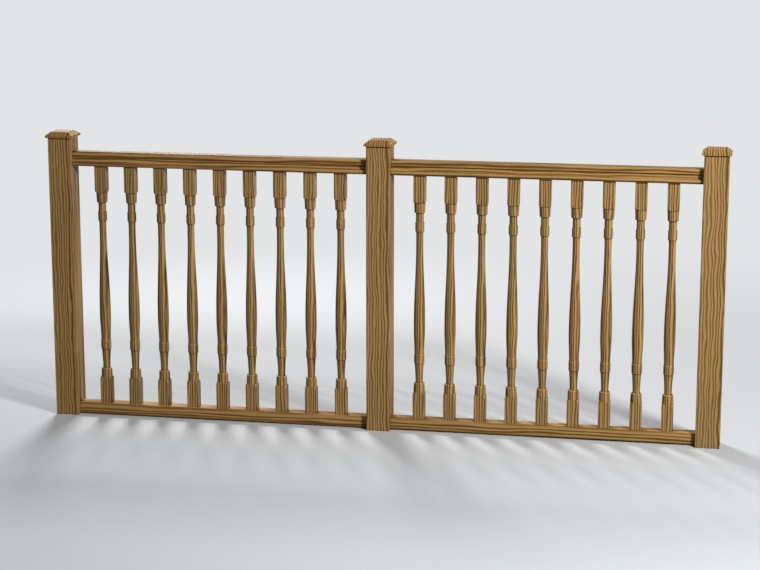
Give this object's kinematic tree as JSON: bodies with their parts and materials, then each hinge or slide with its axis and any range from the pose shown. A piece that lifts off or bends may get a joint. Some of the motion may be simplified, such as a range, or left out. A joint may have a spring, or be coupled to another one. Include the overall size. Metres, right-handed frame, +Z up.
{
  "type": "wooden balustrade",
  "caption": "Timber balustrade in bays: lathe-turned balusters between a moulded top rail and a plain bottom rail, held by square posts with hipped caps",
  "frame": {"origin": "centre of the middle post's foot, on the floor it stands on", "axes": "+X along the rails from the left bay to the right bay, -Y the front, +Z up"},
  "size_m": [2.582, 0.106, 1.112],
  "materials": {
    "post_wood": "satin varnish over straight-grained softwood",
    "cap_wood": "satin varnish, grain from front to back",
    "rail_wood": "satin varnish, grain along the rail",
    "baluster_wood": "satin varnish over turned softwood"
  },
  "bodies": {
    "root": {"post_left": "post_wood", "post_middle": "post_wood", "post_right": "post_wood", "cap_left": "cap_wood", "cap_middle": "cap_wood", "cap_right": "cap_wood", "top_rail_left": "rail_wood", "top_rail_right": "rail_wood", "bottom_rail_left": "rail_wood", "bottom_rail_right": "rail_wood", "baluster_left_1": "baluster_wood", "baluster_left_2": "baluster_wood", "baluster_left_3": "baluster_wood", "baluster_left_4": "baluster_wood", "baluster_left_5": "baluster_wood", "baluster_left_6": "baluster_wood", "baluster_left_7": "baluster_wood", "baluster_left_8": "baluster_wood", "baluster_left_9": "baluster_wood", "baluster_right_1": "baluster_wood", "baluster_right_2": "baluster_wood", "baluster_right_3": "baluster_wood", "baluster_right_4": "baluster_wood", "baluster_right_5": "baluster_wood", "baluster_right_6": "baluster_wood", "baluster_right_7": "baluster_wood", "baluster_right_8": "baluster_wood", "baluster_right_9": "baluster_wood"}
  },
  "joints": []
}
